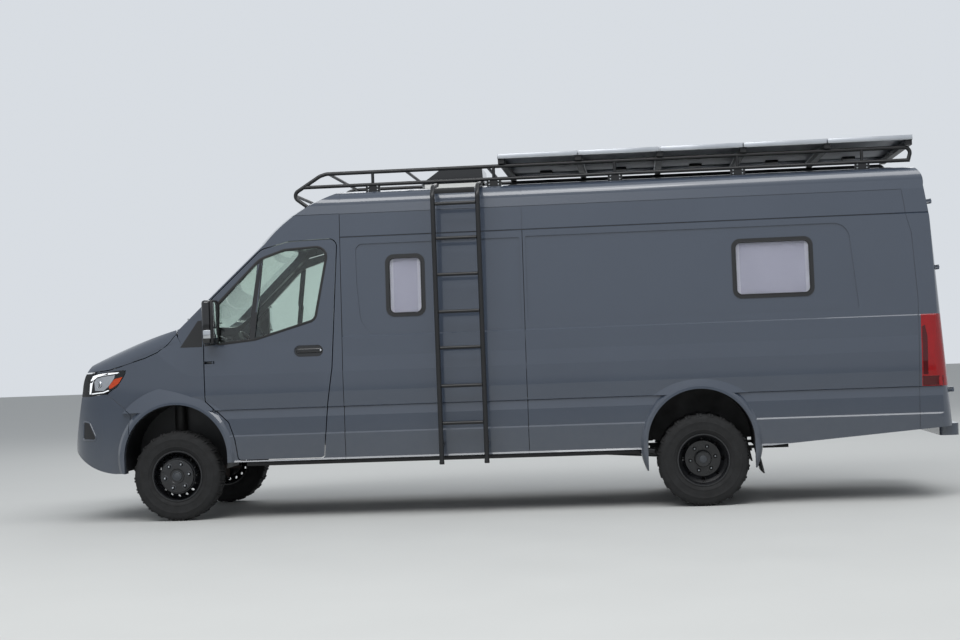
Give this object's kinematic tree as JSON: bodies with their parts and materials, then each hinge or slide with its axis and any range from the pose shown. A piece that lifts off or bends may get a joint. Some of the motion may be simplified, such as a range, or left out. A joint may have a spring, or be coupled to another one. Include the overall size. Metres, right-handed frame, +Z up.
{
  "type": "camper van",
  "caption": "Long high-roof camper van with twin rear wheels, roof rack, solar panels and side ladder; doors, bonnet, vent and steering move.",
  "frame": {"origin": "on the ground under the middle of the overall box", "axes": "-X is the front, -Y is the driver's left side, +Z is up"},
  "size_m": [7.3668, 2.345, 2.93],
  "materials": {
    "body_paint": "gloss",
    "tinted_glass": "gloss",
    "black_plastic": "matte",
    "white_plastic": "satin",
    "smoked_plastic": "gloss",
    "lamp_plastic": "gloss",
    "red_lens": "gloss",
    "tyre_rubber": "matte",
    "rubber": "matte",
    "black_steel": "satin",
    "chassis_steel": "matte",
    "cast_iron": "rough",
    "cast_aluminium": "rough",
    "stainless": "satin",
    "seat_fabric": "woven",
    "panel_frame": "satin"
  },
  "bodies": {
    "body": {"front_wings": "body_paint", "front_bumper": "body_paint", "cab_frame": "body_paint", "side_panel_left": "body_paint", "side_panel_right": "body_paint", "sliding_door_right": "body_paint", "roof": "body_paint", "rear_frame": "body_paint", "rear_bumper": "body_paint", "windscreen": "tinted_glass", "window_panes": "tinted_glass", "window_frames": "black_plastic", "grille": "black_plastic", "mudflaps": "rubber", "dashboard": "black_plastic", "vent_base": "white_plastic", "headlamps": "lamp_plastic", "tail_lamps": "red_lens", "front_suspension": "chassis_steel", "rear_axle": "chassis_steel", "chassis_rails": "chassis_steel", "floor": "body_paint", "powertrain": "cast_aluminium", "fuel_tank": "black_plastic", "exhaust": "stainless", "seats": "seat_fabric", "rack_sides": "black_steel", "rack_bars": "black_steel", "solar_panels": "panel_frame", "ladder_rails": "black_steel", "ladder_rungs": "black_steel"},
    "front_door_left": {"front_door_left": "body_paint", "door_glass_left": "tinted_glass", "mirror_left": "body_paint"},
    "front_door_right": {"front_door_right": "body_paint", "door_glass_right": "tinted_glass", "mirror_right": "body_paint"},
    "rear_door_left": {"rear_door_left": "body_paint"},
    "rear_door_right": {"rear_door_right": "body_paint"},
    "bonnet": {"bonnet": "body_paint"},
    "vent_lid": {"vent_lid": "smoked_plastic"},
    "steering_wheel": {"steering_wheel": "black_plastic"},
    "knuckle_left": {"knuckle_left": "cast_iron"},
    "knuckle_right": {"knuckle_right": "cast_iron"},
    "front_wheel_left": {"front_tyre_left": "tyre_rubber", "front_rim_left": "black_steel"},
    "front_wheel_right": {"front_tyre_right": "tyre_rubber", "front_rim_right": "black_steel"},
    "rear_wheels_left": {"rear_tyres_left": "tyre_rubber", "rear_rims_left": "black_steel"},
    "rear_wheels_right": {"rear_tyres_right": "tyre_rubber", "rear_rims_right": "black_steel"}
  },
  "joints": [
    {"name": "steer_left", "type": "hinge", "parent": "body", "child": "knuckle_left", "pos_m": [-2.6795, -0.8, 0.372], "axis": [0, 0, 1], "range_deg": [-30, 30]},
    {"name": "steer_right", "type": "hinge", "parent": "body", "child": "knuckle_right", "pos_m": [-2.6795, 0.8, 0.372], "axis": [0, 0, 1], "range_deg": [-30, 30]},
    {"name": "steering_wheel_turn", "type": "hinge", "parent": "body", "child": "steering_wheel", "pos_m": [-2.1195, -0.43, 1.4], "axis": [0.824, 0, 0.5665], "range_deg": [-450, 450]},
    {"name": "front_wheel_left_spin", "type": "hinge", "parent": "knuckle_left", "child": "front_wheel_left", "pos_m": [-2.6795, -0.858, 0.372], "axis": [0, 1, 0], "continuous": true},
    {"name": "front_wheel_right_spin", "type": "hinge", "parent": "knuckle_right", "child": "front_wheel_right", "pos_m": [-2.6795, 0.858, 0.372], "axis": [0, 1, 0], "continuous": true},
    {"name": "rear_wheels_left_spin", "type": "hinge", "parent": "body", "child": "rear_wheels_left", "pos_m": [1.6455, -0.754, 0.372], "axis": [0, 1, 0], "continuous": true},
    {"name": "rear_wheels_right_spin", "type": "hinge", "parent": "body", "child": "rear_wheels_right", "pos_m": [1.6455, 0.754, 0.372], "axis": [0, 1, 0], "continuous": true},
    {"name": "front_door_left_swing", "type": "hinge", "parent": "body", "child": "front_door_left", "pos_m": [-2.3385, -1, 1.175], "axis": [0, 0, -1], "range_deg": [0, 65]},
    {"name": "front_door_right_swing", "type": "hinge", "parent": "body", "child": "front_door_right", "pos_m": [-2.3385, 1, 1.175], "axis": [0, 0, 1], "range_deg": [0, 65]},
    {"name": "rear_door_left_swing", "type": "hinge", "parent": "body", "child": "rear_door_left", "pos_m": [3.58768, -0.905, 1.6], "axis": [0.0767, 0, -0.9971], "range_deg": [0, 180]},
    {"name": "rear_door_right_swing", "type": "hinge", "parent": "body", "child": "rear_door_right", "pos_m": [3.58768, 0.905, 1.6], "axis": [-0.0767, 0, 0.9971], "range_deg": [0, 180]},
    {"name": "bonnet_lift", "type": "hinge", "parent": "body", "child": "bonnet", "pos_m": [-2.6295, 0, 1.6], "axis": [0, 1, 0], "range_deg": [0, 55]},
    {"name": "vent_lid_lift", "type": "hinge", "parent": "body", "child": "vent_lid", "pos_m": [-0.6465, 0, 2.768], "axis": [0, -1, 0], "range_deg": [0, 20]}
  ],
  "couplings": [
    {"joint": "steer_right", "follows": "steer_left", "ratio": 1},
    {"joint": "steering_wheel_turn", "follows": "steer_left", "ratio": 15}
  ]
}
